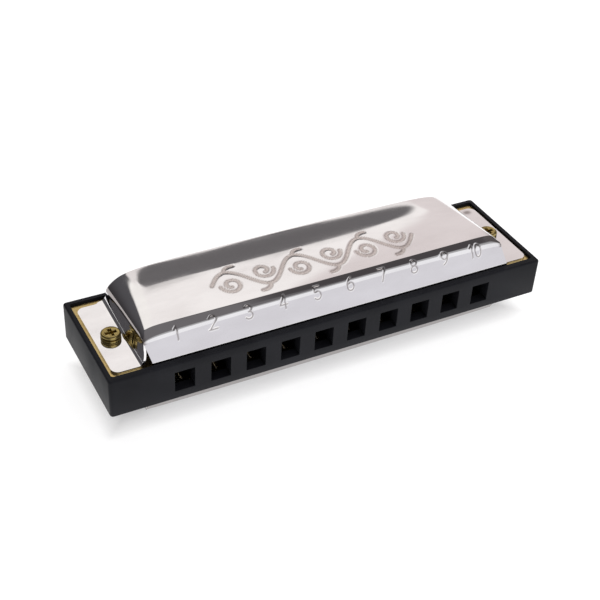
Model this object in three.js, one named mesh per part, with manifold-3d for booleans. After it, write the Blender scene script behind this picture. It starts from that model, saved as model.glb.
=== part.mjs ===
// Ten-hole diatonic harmonica, in millimetres, +Z up, hole 1 at -X, mouth side at -Y.
// The model is laid out about the middle plane of the comb and lifted at the end, so that
// the origin is under its centre, at the height of the surface it lies on.
import * as THREE from 'three';
import { mergeVertices } from 'three/addons/utils/BufferGeometryUtils.js';
import Module from 'manifold-3d';

const wasm = await Module();
wasm.setup();

// ---------------------------------------------------------------- driving dimensions

const holeCount = 10;
const holePitch = 7.5;
const holeWidth = 4.12;
const holeHeight = 4.65;

const combLength = 97.6;
const combDepth = 26.6;
const combHeight = 8.6;
const combCornerRadius = 0.7;
const combEdgeRadius = 0.35;
const combRim = 1.1;
const combFrontRim = 1.55;
const combFrontWall = 2.3;
const chamberWidth = 5.0;
const chamberEndRoom = 0.6;

const plateThickness = 0.95;
const plateRecess = 0.6;
const plateEdgeRoom = 0.1;
const plateCornerRadius = 0.5;
const seatGap = 0.05;

const reedTipSetback = 3.7;
const longestTongue = 15.0;
const shortestTongue = 8.8;
const tongueWidth = 2.1;
const padLength = 3.3;
const padWidth = 3.2;
const reedThickness = 0.25;
const reedLift = 0.2;
const slotSideRoom = 0.12;
const slotTipRoom = 0.25;

const rivetRadius = 0.5;
const rivetHeadRadius = 0.85;
const rivetHeadHeight = 0.35;
const rivetPadRoom = 0.2;
const rivetHeadRoom = 0.15;

const sheetThickness = 0.45;
const ridgeHeight = 4.45;
const ridgeSetback = 3.85;
const wallFootSetback = 1.85;
const facetDepth = 2.05;
const facetRise = 1.1;
const crownRise = 1.85;
const crownFrontSetback = 6.95;
const crownFlatDepth = 7.0;
const coverRearSetback = 1.9;
const rearEdgeDrop = 0.65;
const hemDepth = 1.2;
const hemStep = 0.01;

const endWallInset = 8.4;
const endWallLean = 0.2;
const endWallRearHeight = 1.8;
const footBendWidth = 1.15;
const footBendHeight = 1.6;
const footBendSteps = 3;
const edgeRiseFront = 0.25;
const edgeRiseRear = 1.2;
const edgeRiseWidth = 0.25;
const shoulderSlope = 1.2;
const shoulderPlaces = [0, 0.2, 0.5, 1, 1.8, 3, 5, 8.5, 14];
const leastRise = 0.05;

const tabOuterInset = 1.75;
const tabFrontSetback = 2.4;
const tabRearSetback = 3.0;
const tabCornerRadius = 1.5;
const tabOverlap = 1.0;

const screwInset = 5.05;
const screwForward = 0.7;
const screwRadius = 1.0;
const screwHoleRoom = 0.15;
const screwHeadRadius = 2.0;
const screwNeckRadius = 1.7;
const screwHeadHeight = 1.3;
const flangeHeight = 0.4;
const neckTaperHeight = 0.1;
const neckHeight = 0.35;
const headBevelWidth = 0.35;
const headBevelHeight = 0.3;
const recessRadius = 0.95;
const recessDepth = 0.7;
const nutHoleRoom = 0.1;
const screwTipRoom = 0.3;

const pinRadius = 0.55;
const pinHeadRadius = 0.95;
const pinHeadHeight = 0.3;
const pinLength = 2.0;
const pinHoleRoom = 0.05;
const pinTipRoom = 0.3;
const frontPinBackset = 4.8;
const rearPinInset = 2.6;

// How far a cutter runs past the face that it opens.
const cutPast = 1;

// ---------------------------------------------------------------- worked out from them

const combTop = combHeight / 2;
const combFront = -combDepth / 2;
const combRear = combDepth / 2;
const combEnd = combLength / 2;
const plateTop = combTop - plateRecess;
const plateUnder = plateTop - plateThickness;
const pocketFloor = plateUnder - seatGap;
const tabUnder = plateTop + seatGap;
const tabTop = tabUnder + sheetThickness;

const ridgeY = combFront + ridgeSetback;
const ridgeZ = combTop + ridgeHeight;
const wallFootY = combFront + wallFootSetback;
const facetY = ridgeY + facetDepth;
const facetZ = ridgeZ + facetRise;
const crownZ = ridgeZ + crownRise;
const crownFrontY = ridgeY + crownFrontSetback;
const crownRearY = crownFrontY + crownFlatDepth;
const coverRearY = combRear - coverRearSetback;
const hemY = coverRearY - hemDepth;
const endWallX = combEnd - endWallInset;
const restHeight = crownZ;

const screwX = combEnd - screwInset;
const screwY = -screwForward;
const reedTipY = combFront + reedTipSetback;

const holeX = (i) => (i - (holeCount - 1) / 2) * holePitch;
const tongueLength = (i) => THREE.MathUtils.lerp(longestTongue, shortestTongue, i / (holeCount - 1));
const hingeY = (i) => reedTipY + tongueLength(i);
const rivetY = (i) => hingeY(i) + padLength / 2;
const holes = Array.from({ length: holeCount }, (_, i) => i);

const pinPlaces = [
  [-2 * holePitch, combFront + frontPinBackset],
  [2 * holePitch, combFront + frontPinBackset],
  [-4 * holePitch, combRear - rearPinInset],
  [0, combRear - rearPinInset],
  [4 * holePitch, combRear - rearPinInset],
];

// ---------------------------------------------------------------- solids

function toSolid(geometry) {
  const bare = geometry.index ? geometry.toNonIndexed() : geometry.clone();
  bare.deleteAttribute('normal');
  bare.deleteAttribute('uv');
  const merged = mergeVertices(bare, 1e-5);
  return new wasm.Manifold(new wasm.Mesh({
    numProp: 3,
    vertProperties: new Float32Array(merged.attributes.position.array),
    triVerts: new Uint32Array(merged.index.array),
  }));
}

function toGeometry(solid) {
  const mesh = solid.getMesh();
  const geometry = new THREE.BufferGeometry();
  const corners = new Float32Array(mesh.vertProperties);
  geometry.setAttribute('position', new THREE.BufferAttribute(corners, 3));
  geometry.setIndex(new THREE.BufferAttribute(new Uint32Array(mesh.triVerts), 1));
  const flat = geometry.toNonIndexed();
  flat.computeVertexNormals();
  return flat;
}

function box(x0, x1, y0, y1, z0, z1) {
  const geometry = new THREE.BoxGeometry(x1 - x0, y1 - y0, z1 - z0);
  return geometry.translate((x0 + x1) / 2, (y0 + y1) / 2, (z0 + z1) / 2);
}

function upright(radius, x, y, z0, z1, sides = 12) {
  const geometry = new THREE.CylinderGeometry(radius, radius, z1 - z0, sides);
  return geometry.rotateX(Math.PI / 2).translate(x, y, (z0 + z1) / 2);
}

function roundedOutline(x0, x1, y0, y1, radius) {
  const shape = new THREE.Shape();
  shape.moveTo(x0 + radius, y0);
  shape.lineTo(x1 - radius, y0);
  shape.absarc(x1 - radius, y0 + radius, radius, -Math.PI / 2, 0);
  shape.lineTo(x1, y1 - radius);
  shape.absarc(x1 - radius, y1 - radius, radius, 0, Math.PI / 2);
  shape.lineTo(x0 + radius, y1);
  shape.absarc(x0 + radius, y1 - radius, radius, Math.PI / 2, Math.PI);
  shape.lineTo(x0, y0 + radius);
  shape.absarc(x0 + radius, y0 + radius, radius, Math.PI, 1.5 * Math.PI);
  return shape;
}

function slab(shape, z0, z1, curveSegments = 4) {
  const geometry = new THREE.ExtrudeGeometry(shape, { depth: z1 - z0, bevelEnabled: false, curveSegments });
  return geometry.translate(0, 0, z0);
}

function turned(profile, sides = 12) {
  return new THREE.LatheGeometry(profile.map(([r, z]) => new THREE.Vector2(r, z)), sides).rotateX(Math.PI / 2);
}

function cutAll(geometry, cutters) {
  const solid = cutters.reduce((rest, cutter) => rest.subtract(toSolid(cutter)), toSolid(geometry));
  return toGeometry(solid);
}

// ---------------------------------------------------------------- materials

const finish = {
  blackPlastic: new THREE.MeshStandardMaterial({ color: 0x1f2024, roughness: 0.42, metalness: 0.0 }),
  polishedSteel: new THREE.MeshStandardMaterial({ color: 0xd9d9dc, roughness: 0.12, metalness: 1.0 }),
  plateBrass: new THREE.MeshStandardMaterial({ color: 0xc8a552, roughness: 0.3, metalness: 1.0 }),
  reedBrass: new THREE.MeshStandardMaterial({ color: 0xd3b264, roughness: 0.25, metalness: 1.0 }),
  rivetBrass: new THREE.MeshStandardMaterial({ color: 0xa98745, roughness: 0.35, metalness: 1.0 }),
  screwBrass: new THREE.MeshStandardMaterial({ color: 0xb8923a, roughness: 0.22, metalness: 1.0 }),
};

const model = new THREE.Group();

function add(name, geometry, material) {
  const mesh = new THREE.Mesh(geometry, material);
  mesh.name = name;
  model.add(mesh);
  return mesh;
}

// ---------------------------------------------------------------- comb

function combBlock() {
  const shape = roundedOutline(-combEnd, combEnd, combFront, combRear, combCornerRadius);
  const geometry = new THREE.ExtrudeGeometry(shape, {
    depth: combHeight - 2 * combEdgeRadius,
    bevelThickness: combEdgeRadius,
    bevelSize: combEdgeRadius,
    bevelOffset: -combEdgeRadius,
    bevelSegments: 2,
    curveSegments: 4,
  });
  return geometry.translate(0, 0, combEdgeRadius - combTop);
}

function combCutters() {
  const cutters = [];
  const pocket = roundedOutline(combRim - combEnd, combEnd - combRim,
    combFront + combFrontRim, combRear - combRim, plateCornerRadius);
  for (const side of [1, -1]) {
    const [z0, z1] = side > 0 ? [pocketFloor, combTop + cutPast] : [-combTop - cutPast, -pocketFloor];
    cutters.push(slab(pocket, z0, z1));
    for (const [x, y] of pinPlaces) {
      const depth = pinLength + pinTipRoom;
      const [foot, top] = [pocketFloor - depth, pocketFloor + cutPast];
      const hole = side > 0 ? [foot, top] : [-top, -foot];
      cutters.push(upright(pinRadius + pinHoleRoom, x, y, ...hole, 8));
    }
    cutters.push(upright(screwRadius + screwHoleRoom, side * screwX, screwY, -combTop, combTop));
  }
  for (const i of holes) {
    const x = holeX(i);
    const rear = hingeY(i) + padLength + chamberEndRoom;
    const front = combFront + combFrontWall;
    cutters.push(box(x - chamberWidth / 2, x + chamberWidth / 2, front, rear, -combTop, combTop));
    cutters.push(box(x - holeWidth / 2, x + holeWidth / 2, combFront - cutPast, front + cutPast,
      -holeHeight / 2, holeHeight / 2));
  }
  return cutters;
}

add('comb', cutAll(combBlock(), combCutters()), finish.blackPlastic);

// ---------------------------------------------------------------- reed plates

function reedPlate() {
  const edge = combRim + plateEdgeRoom;
  const frontEdge = combFrontRim + plateEdgeRoom;
  const shape = roundedOutline(edge - combEnd, combEnd - edge, combFront + frontEdge, combRear - edge,
    plateCornerRadius);
  const [z0, z1] = [plateUnder - cutPast, plateTop + cutPast];
  const halfSlot = tongueWidth / 2 + slotSideRoom;
  const cutters = [];
  for (const i of holes) {
    const x = holeX(i);
    cutters.push(box(x - halfSlot, x + halfSlot, reedTipY - slotTipRoom, hingeY(i), z0, z1));
    cutters.push(upright(rivetRadius + seatGap, x, rivetY(i), z0, z1, 8));
  }
  for (const side of [1, -1]) cutters.push(upright(screwRadius + screwHoleRoom, side * screwX, screwY, z0, z1));
  for (const [x, y] of pinPlaces) cutters.push(upright(pinRadius + pinHoleRoom, x, y, z0, z1, 8));
  return cutAll(slab(shape, plateUnder, plateTop), cutters);
}

add('blow_reed_plate', reedPlate(), finish.plateBrass);
add('draw_reed_plate', reedPlate().translate(0, 0, -plateUnder - plateTop), finish.plateBrass);

// ---------------------------------------------------------------- reeds and their rivets

// A reed is a flat pad with a rivet hole and a straight tongue that fills its slot.
function reed(i) {
  const tip = reedTipY;
  const hinge = hingeY(i);
  const halfTongue = tongueWidth / 2;
  const halfPad = padWidth / 2;
  const shape = new THREE.Shape();
  shape.moveTo(-halfTongue, tip);
  shape.lineTo(halfTongue, tip);
  shape.lineTo(halfTongue, hinge);
  shape.lineTo(halfPad, hinge);
  shape.lineTo(halfPad, hinge + padLength);
  shape.lineTo(-halfPad, hinge + padLength);
  shape.lineTo(-halfPad, hinge);
  shape.lineTo(-halfTongue, hinge);
  const radius = rivetRadius + rivetPadRoom;
  const ring = Array.from({ length: 8 }, (_, k) => new THREE.Vector2(
    radius * Math.sin((-Math.PI * k) / 4), rivetY(i) + radius * Math.cos((-Math.PI * k) / 4)));
  shape.holes.push(new THREE.Path(ring));
  return slab(shape, 0, reedThickness);
}

// A rivet has a domed head under the pad, and its shank runs through the plate to its far face.
// It is turned with its head down, and z = 0 at the plate's reed side.
function rivet() {
  const headTop = -(reedLift + reedThickness + rivetHeadRoom);
  const headFoot = headTop - rivetHeadHeight;
  return turned([
    [0, headFoot],
    [rivetHeadRadius - rivetHeadHeight * 0.6, headFoot],
    [rivetHeadRadius, headFoot + rivetHeadHeight * 0.6],
    [rivetHeadRadius, headTop],
    [rivetRadius, headTop],
    [rivetRadius, plateThickness],
    [0, plateThickness],
  ], 8);
}

// The blow plate carries its reeds on its chamber side, the draw plate on its outer side,
// so both sets hang under their plates.
for (const [set, plateFoot] of [['blow', plateUnder], ['draw', -plateTop]]) {
  for (const i of holes) {
    const foot = plateFoot - reedLift - reedThickness;
    add(`${set}_reed_${i + 1}`, reed(i), finish.reedBrass).position.set(holeX(i), 0, foot);
    add(`${set}_rivet_${i + 1}`, rivet(), finish.rivetBrass).position.set(holeX(i), rivetY(i), plateFoot);
  }
}

// ---------------------------------------------------------------- reed plate pins

function pin() {
  const headTop = pinHeadHeight + seatGap;
  return turned([
    [0, -(plateThickness + seatGap + pinLength)],
    [pinRadius, -(plateThickness + seatGap + pinLength)],
    [pinRadius, seatGap],
    [pinHeadRadius, seatGap],
    [pinHeadRadius - pinHeadHeight, headTop],
    [0, headTop],
  ], 8);
}

pinPlaces.forEach(([x, y], k) => {
  add(`blow_plate_pin_${k + 1}`, pin(), finish.rivetBrass).position.set(x, y, plateTop);
  const lower = add(`draw_plate_pin_${k + 1}`, pin(), finish.rivetBrass);
  lower.position.set(x, y, -plateTop);
  lower.rotation.y = Math.PI;
});

// ---------------------------------------------------------------- covers

// Height of the middle of the cover at y: a steep facet behind the ridge, a curve up to the
// flat crown, and a curve down to the rear edge.
function crownHeight(y) {
  if (y <= facetY) return ridgeZ + facetRise * (y - ridgeY) / facetDepth;
  if (y <= crownFrontY) {
    const t = (crownFrontY - y) / (crownFrontY - facetY);
    return crownZ - (crownZ - facetZ) * t * t;
  }
  if (y <= crownRearY) return crownZ;
  const t = (y - crownRearY) / (coverRearY - crownRearY);
  return crownZ - rearEdgeDrop * t * t;
}

// Half of the cover's cross-section at y, from the tab to the middle, as [x, z] pairs: the tab,
// a bend up into the leaning end wall, a short steep edge and a shoulder up to the crown, each an
// exponential approach. The inner face is the same section, set in by the sheet's thickness.
function coverSection(y, inset) {
  const back = (y - ridgeY) / (coverRearY - ridgeY);
  const wallTop = THREE.MathUtils.lerp(ridgeZ, tabTop + endWallRearHeight, back) - inset / 2;
  const rise = Math.max(crownHeight(y) - inset - wallTop, leastRise);
  const edge = Math.min(THREE.MathUtils.lerp(edgeRiseFront, edgeRiseRear, back), rise * 0.6);
  const rest = rise - edge;
  const wallX = endWallX - inset;
  const under = Math.min(inset, sheetThickness);
  const floor = tabTop - under;
  const footX = wallX + endWallLean * (wallTop - floor) / (ridgeZ - tabTop);
  const bendWidth = footBendWidth + under;
  const bendHeight = Math.min(footBendHeight + under, (wallTop - floor) * 0.8);
  const points = [[footX + bendWidth + tabOverlap, floor]];
  for (let k = 0; k <= footBendSteps; k += 1) {
    const angle = (Math.PI / 2) * (k / footBendSteps);
    points.push([footX + bendWidth * (1 - Math.sin(angle)), floor + bendHeight * (1 - Math.cos(angle))]);
  }
  for (const inward of shoulderPlaces) {
    const steep = edge * (1 - Math.exp(-inward / edgeRiseWidth));
    const slow = rest * (1 - Math.exp(-shoulderSlope * inward / rest));
    points.push([wallX - inward, wallTop + steep + slow]);
  }
  points.push([0, wallTop + rise]);
  return points;
}

// The bent sheet: the section above at a row of places from the ridge to the rear edge, with
// its outer and inner faces joined round the border. The rear edge is folded into a hem.
function coverSheet() {
  const halfway = (a, b) => (a + b) / 2;
  const places = [ridgeY, facetY, halfway(facetY, crownFrontY), crownFrontY, halfway(crownFrontY, crownRearY),
    crownRearY, halfway(crownRearY, hemY), hemY];
  const rows = places.map((y) => [y, sheetThickness]);
  rows.push([hemY + hemStep, 2 * sheetThickness], [coverRearY, 2 * sheetThickness]);
  const faces = [0, 1].map((inner) => rows.map(([y, thickness]) => {
    const half = coverSection(y, inner * thickness);
    const right = half.slice(0, -1).reverse();
    return [...half.map(([x, z]) => [-x, y, z]), ...right.map(([x, z]) => [x, y, z])];
  }));
  const across = faces[0][0].length;
  const corners = faces.flat(2).flat();
  const index = [];
  const at = (face, row, col) => (face * rows.length + row) * across + col;
  const quad = (a, b, c, d) => index.push(a, b, c, a, c, d);
  for (let row = 0; row + 1 < rows.length; row += 1) {
    for (let col = 0; col + 1 < across; col += 1) {
      quad(at(0, row, col), at(0, row, col + 1), at(0, row + 1, col + 1), at(0, row + 1, col));
      quad(at(1, row, col), at(1, row + 1, col), at(1, row + 1, col + 1), at(1, row, col + 1));
    }
    const last = across - 1;
    quad(at(0, row, 0), at(0, row + 1, 0), at(1, row + 1, 0), at(1, row, 0));
    quad(at(0, row, last), at(1, row, last), at(1, row + 1, last), at(0, row + 1, last));
  }
  const end = rows.length - 1;
  for (let col = 0; col + 1 < across; col += 1) {
    quad(at(0, 0, col), at(1, 0, col), at(1, 0, col + 1), at(0, 0, col + 1));
    quad(at(0, end, col), at(0, end, col + 1), at(1, end, col + 1), at(1, end, col));
  }
  const geometry = new THREE.BufferGeometry();
  geometry.setAttribute('position', new THREE.BufferAttribute(new Float32Array(corners), 3));
  geometry.setIndex(index);
  return geometry;
}

// The front wall leans back from its foot in the comb's pocket to the ridge.
function coverFrontWall() {
  const shape = new THREE.Shape();
  shape.moveTo(wallFootY, tabUnder);
  shape.lineTo(wallFootY + sheetThickness, tabUnder);
  shape.lineTo(wallFootY + sheetThickness, combTop);
  shape.lineTo(ridgeY + sheetThickness, ridgeZ - sheetThickness);
  shape.lineTo(ridgeY + sheetThickness, ridgeZ + facetRise * sheetThickness / facetDepth);
  shape.lineTo(ridgeY, ridgeZ);
  shape.lineTo(wallFootY, combTop);
  const geometry = new THREE.ExtrudeGeometry(shape, { depth: 2 * endWallX, bevelEnabled: false });
  return geometry.rotateX(Math.PI / 2).rotateZ(Math.PI / 2).translate(-endWallX, 0, 0);
}

function coverTab(side) {
  const outer = combEnd - tabOuterInset;
  const inner = endWallX + endWallLean + footBendWidth;
  const shape = roundedOutline(inner, outer, combFront + tabFrontSetback, combRear - tabRearSetback, tabCornerRadius);
  const geometry = slab(shape, tabUnder, tabTop);
  return side > 0 ? geometry : geometry.rotateY(Math.PI).translate(0, 0, tabUnder + tabTop);
}

function cover() {
  let solid = toSolid(coverSheet()).add(toSolid(coverFrontWall()));
  for (const side of [1, -1]) {
    solid = solid.add(toSolid(coverTab(side)));
    const hole = upright(screwRadius + screwHoleRoom, side * screwX, screwY, tabUnder - cutPast, tabTop + cutPast);
    solid = solid.subtract(toSolid(hole));
  }
  return toGeometry(solid);
}

add('upper_cover', cover(), finish.polishedSteel);
add('lower_cover', cover(), finish.polishedSteel).rotation.y = Math.PI;

// ---------------------------------------------------------------- cover screws and nuts

// Head and nut share one barrel: a flange on the tab, a neck, and a rounded barrel.
function barrel(foot, bore) {
  const top = foot + screwHeadHeight;
  const flangeTop = foot + flangeHeight;
  return [
    [bore, foot],
    [screwHeadRadius, foot],
    [screwHeadRadius, flangeTop],
    [screwNeckRadius, flangeTop + neckTaperHeight],
    [screwHeadRadius, flangeTop + neckHeight],
    [screwHeadRadius, top - headBevelHeight],
    [screwHeadRadius - headBevelWidth, top],
  ];
}

function screw() {
  const foot = tabTop + seatGap;
  const top = foot + screwHeadHeight;
  const tip = -(foot + screwHeadHeight - screwTipRoom);
  const body = turned([
    [0, tip],
    [screwRadius, tip],
    ...barrel(foot, screwRadius),
    [0, top],
  ], 16);
  const recess = upright(recessRadius, 0, 0, top - recessDepth, top + cutPast, 6);
  return cutAll(body, [recess]);
}

function nut() {
  const foot = tabTop + seatGap;
  const bore = screwRadius + nutHoleRoom;
  return turned([
    ...barrel(foot, bore),
    [bore, foot + screwHeadHeight],
    [bore, foot],
  ], 16);
}

for (const [name, side] of [['left', -1], ['right', 1]]) {
  add(`${name}_cover_screw`, screw(), finish.screwBrass).position.set(side * screwX, screwY, 0);
  const under = add(`${name}_cover_nut`, nut(), finish.screwBrass);
  under.position.set(side * screwX, screwY, 0);
  under.rotation.y = Math.PI;
}

model.position.z = restHeight;

const harmonica = new THREE.Group();
harmonica.add(model);

export default harmonica;
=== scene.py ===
"""A ten-hole diatonic harmonica lying on a pale floor.

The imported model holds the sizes, the joints and the plain solids. The pieces made here stand for
those solids with fine surfaces: stamped covers with their numerals and engraving, a moulded comb,
milled reed plates, ground reeds, rivets, pins and turned screws. Shapes are worked out in
millimetres about the middle plane of the comb, then placed in the frame in metres.
"""

import math

import bmesh
import bpy
import numpy as np
from mathutils import Matrix, Vector


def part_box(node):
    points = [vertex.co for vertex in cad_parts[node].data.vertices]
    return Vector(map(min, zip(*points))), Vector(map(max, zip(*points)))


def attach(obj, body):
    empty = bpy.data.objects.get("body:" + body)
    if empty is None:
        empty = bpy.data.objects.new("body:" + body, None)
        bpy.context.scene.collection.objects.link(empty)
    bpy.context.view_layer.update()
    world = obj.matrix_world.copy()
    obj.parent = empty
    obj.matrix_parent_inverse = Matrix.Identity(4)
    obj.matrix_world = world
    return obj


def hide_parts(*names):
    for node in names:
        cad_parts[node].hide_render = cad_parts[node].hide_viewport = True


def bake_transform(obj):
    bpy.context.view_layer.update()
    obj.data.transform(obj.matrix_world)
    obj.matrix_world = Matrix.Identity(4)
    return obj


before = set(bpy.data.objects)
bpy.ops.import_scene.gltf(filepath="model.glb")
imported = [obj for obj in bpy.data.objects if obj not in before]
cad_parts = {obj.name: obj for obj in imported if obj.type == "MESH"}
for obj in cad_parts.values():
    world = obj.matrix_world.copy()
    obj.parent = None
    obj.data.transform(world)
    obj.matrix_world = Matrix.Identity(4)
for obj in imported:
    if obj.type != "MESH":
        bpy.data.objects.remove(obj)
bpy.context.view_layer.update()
cad_nodes = dict(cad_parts)

MM = 0.001
BODY = "body"
FAR = 1e9
TINY = 1e-12

# ------------------------------------------------------------------ sizes read from the frame


def box_mm(node):
    """A node's lowest and highest corner, in millimetres about the comb's middle plane."""
    low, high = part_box(node)
    low = np.array(low) / MM - (0, 0, REST)
    high = np.array(high) / MM - (0, 0, REST)
    return low, high


comb_low, comb_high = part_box("comb")
# height of the comb's middle plane over the floor
REST = (comb_low[2] + comb_high[2]) / 2 / MM
comb_low, comb_high = box_mm("comb")
cover_low, cover_high = box_mm("upper_cover")

RIM_TOP = comb_high[2]
PLATE_TOP = box_mm("blow_reed_plate")[1][2]
CROWN = cover_high[2]
COVER_FOOT = cover_low[2]
COVER_REAR = cover_high[1]
TAB_OUTER = cover_high[0]
TAB_REAR = comb_high[1] - 3.0
TAB_FRONT = comb_low[1] + 2.4
SHEET = 0.45
TAB_TOP = COVER_FOOT + SHEET

HOLE_COUNT = 10
HOLE_PITCH = 7.5


def hole_x(i):
    """Place along x of the middle of a mouth hole, counted from 0."""
    return (i - (HOLE_COUNT - 1) / 2) * HOLE_PITCH


# ------------------------------------------------------------------ the cover's own form

# The end wall's top edge, the ridge over the front wall, the facet behind it and the crown.
END_X = 40.4
RIDGE_Y = comb_low[1] + 3.85
RIDGE_Z = RIM_TOP + 4.42
RIDGE_ARCH = 0.6
RIDGE_ARCH_BACK = 0.35
FOOT_Y = comb_low[1] + 1.85
FACET_Y = RIDGE_Y + 2.05
FACET_Z = RIM_TOP + 5.6
CROWN_FRONT = RIDGE_Y + 12.2
CROWN_REAR = CROWN_FRONT + 0.8
CROWN_CURVE = 1.9
REAR_DROP = 0.75
REAR_BOW = 0.6
LINE_REAR_Z = TAB_TOP + 2.1

# The short steep edge over each end wall and the shoulder from it to the middle.
EDGE_RISE_FRONT = 0.10
EDGE_RISE_REAR = 0.35
EDGE_RISE_WIDTH = 0.14
EDGE_RISE_SHARE = 0.6
SHOULDER_SLOPE = 1.25
LEAST_RISE = 0.05

# The end wall, its foot bend and the tab.
WALL_LEAN = 0.2
FOOT_BEND_WIDTH = 1.25
FOOT_BEND_HEIGHT = 2.9
FOOT_BEND_SHARE = 0.8
TAB_CORNER = 1.5
TAB_EDGE_RUN = 1.2
WALL_END_SHIFT = 1.0
WALL_END_SHIFT_LENGTH = 4.5

# The folded rear hem.
HEM_RADIUS = 0.5
HEM_TAIL = 1.1

# Darkened places: painted shade on the folds over the end walls and on the lower cover's wall,
# and a stamp on the right tab.
FOLD_LINE_WIDTH = 0.45
FOLD_LINE_GROWTH = 2.2
FOLD_PAINTED_SHADE = 0.8
FOLD_LINE_COLUMNS = 2
LOWER_WALL_PAINTED_SHADE = 0.62
STAMP_PLACE = (44.8, 8.9)
STAMP_SIZE = (1.0, 0.75)
STAMP_SHADE = 0.75

# Numerals along the ridge, with painted shade in their grooves.
NUMERAL_HEIGHT = 2.85
NUMERAL_WIDTH = 2.7
NUMERAL_SPACING = 1.55
NUMERAL_ABOVE_RIDGE = 0.95
NUMERAL_HALF_STROKE = 0.13
NUMERAL_EDGE = (0.4, 1.7)
NUMERAL_DEPTH = 0.10
NUMERAL_PAINTED_SHADE = 0.7
NUMERAL_MARGIN = 0.5

# The running scroll engraved in the crown, with painted shade along its strokes' edges.
ENGRAVING_HALF_LENGTH = 24.5
ENGRAVING_FRONT = RIDGE_Y + 3.0
ENGRAVING_REAR = RIDGE_Y + 13.4
ENGRAVING_HALF_STROKE = 0.40
ENGRAVING_EDGE = 0.1
ENGRAVING_RIM_WIDTH = 0.13
ENGRAVING_RIM_PAINTED_SHADE = 0.6
ENGRAVING_DEPTH = 0.04
ENGRAVING_MARGIN = 1.0
SCROLL_BENDS = 6
SCROLL_REACH = 3.1
SCROLL_END_GAP = 1.6
WAVE_POINTS = 120
CURL_RADIUS = 2.3
CURL_TURNS = 1.2
CURL_CLOSING_TURNS = 1.75
CURL_INSET = 0.9
CURL_POINTS = 30
LEAF_LENGTH = 1.9
LEAF_HEIGHT = 1.5
LEAF_TURN = 100
LEAF_SHIFT = 0.2
LEAF_GAP = 0.9
LEAF_POINTS = 8

# The cover's grid. Rows of the front go from the wall's foot to the facet's top, as shares of the
# way along each stretch. Columns are closer together where numerals and engraving need it.
BASE_SHARES = np.array([0.0, 0.5, 0.85])
WALL_SHARES = np.concatenate([[0.05], np.linspace(0.13, 0.40, 3), np.linspace(0.46, 1.0, 17)])
RIDGE_BEND_ROWS = 12
FACET_ROWS = 8
RIDGE_ROW = len(BASE_SHARES) + len(WALL_SHARES) - 1
BEND_ROW = RIDGE_ROW + RIDGE_BEND_ROWS // 2
# Rows of the lower cover's front that its painted shade reaches: the wall and most of the ridge's
# bend.
LOWER_WALL_SHADE_ROWS = RIDGE_ROW + 10
RIDGE_BEND_BELOW = 0.17
RIDGE_BEND_ABOVE = 0.42
END_STEPS = np.array([0, 0.02, 0.06, 0.13, 0.23, 0.37, 0.55, 0.78, 1.06, 1.4, 1.8, 2.3, 2.9, 3.6])
FINE_END = END_X - 4.3
PLAIN_END = END_X - 4.4
PLAIN_COLUMNS = 34
NUMERAL_REACH = 1.2
TWO_DIGIT_REACH = 1.0
NUMERAL_STEP = 0.14
ENGRAVING_STEP = 0.30
PLAIN_STEP = 0.45
ROW_STEP = 0.28
PLAIN_ROWS = 40
NEAR_ROWS = 6
FAR_ROWS = 14
CORNER_COLUMNS = 9
TAB_COLUMNS = 10
BEND_COLUMNS = 15
END_WALL_COLUMNS = 5
HEM_ROWS = 8
HEM_TAIL_ROWS = 3

# ------------------------------------------------------------------ mesh helpers

FINE_MERGE = 1e-7
NODE_MERGE = 2e-6
COVER_MERGE = 4e-6
SHARP_ANGLE = 35.0
BEVEL_SEGMENTS = 2
BEVEL_ANGLE = 30.0
SHEET_BEVEL_ANGLE = 60.0
COVER_BEVEL = 0.07
COMB_BEVEL = 0.13
PLATE_BEVEL = 0.06
FLAT_ANGLE = 1.0


def new_object(name, corners, faces, sizes=None):
    """A mesh object from corners in metres and faces as corner numbers.

    faces is an (n, 4) array of quads, or a flat array with sizes giving each face's corner count.
    """
    mesh = bpy.data.meshes.new(name)
    mesh.vertices.add(len(corners))
    mesh.vertices.foreach_set("co", np.asarray(corners, np.float32).ravel())
    counts = np.full(len(faces), 4) if sizes is None else np.asarray(sizes)
    loops = np.asarray(faces).ravel()
    mesh.loops.add(len(loops))
    mesh.loops.foreach_set("vertex_index", loops.astype(np.int32))
    mesh.polygons.add(len(counts))
    starts = np.concatenate([[0], np.cumsum(counts)[:-1]])
    mesh.polygons.foreach_set("loop_start", starts.astype(np.int32))
    mesh.update(calc_edges=True)
    mesh.validate()
    obj = bpy.data.objects.new(name, mesh)
    bpy.context.scene.collection.objects.link(obj)
    return obj


def place(points):
    """Millimetres about the comb's middle plane to metres in the frame."""
    return (np.asarray(points, float).reshape(-1, 3) + (0, 0, REST)) * MM


def grid_quads(rows, cols, wrap=False):
    """Quads between the points of a rows x cols grid, shaped (rows - 1, cols or cols - 1, 4)."""
    r = np.arange(rows - 1)[:, None]
    c = np.arange(cols if wrap else cols - 1)[None, :]
    a = r * cols + c
    b = r * cols + (c + 1) % cols
    return np.stack([a, b, b + cols, a + cols], -1)


def clean_mesh(mesh, doubled, sliver, flat=None, outwards=True):
    """Merges doubled corners and drops slivers, both up to a distance in metres.

    Where a flat angle is given, faces that lie flatter than it to each other are made one. Faces
    are pointed outwards, or left the way they are on an open sheet.
    """
    bm = bmesh.new()
    bm.from_mesh(mesh)
    bmesh.ops.remove_doubles(bm, verts=bm.verts, dist=doubled)
    bmesh.ops.dissolve_degenerate(bm, edges=bm.edges, dist=sliver)
    if flat is not None:
        limit = math.radians(flat)
        bmesh.ops.dissolve_limit(bm, angle_limit=limit, verts=bm.verts, edges=bm.edges)
    if outwards:
        bmesh.ops.recalc_face_normals(bm, faces=bm.faces)
    bm.to_mesh(mesh)
    bm.free()


def smooth_by_angle(obj, sharp_angle=SHARP_ANGLE):
    """Shades a piece smooth, but for the edges that turn by more than the angle."""
    obj.data.shade_smooth()
    obj.data.set_sharp_from_angle(angle=math.radians(sharp_angle))


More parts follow.
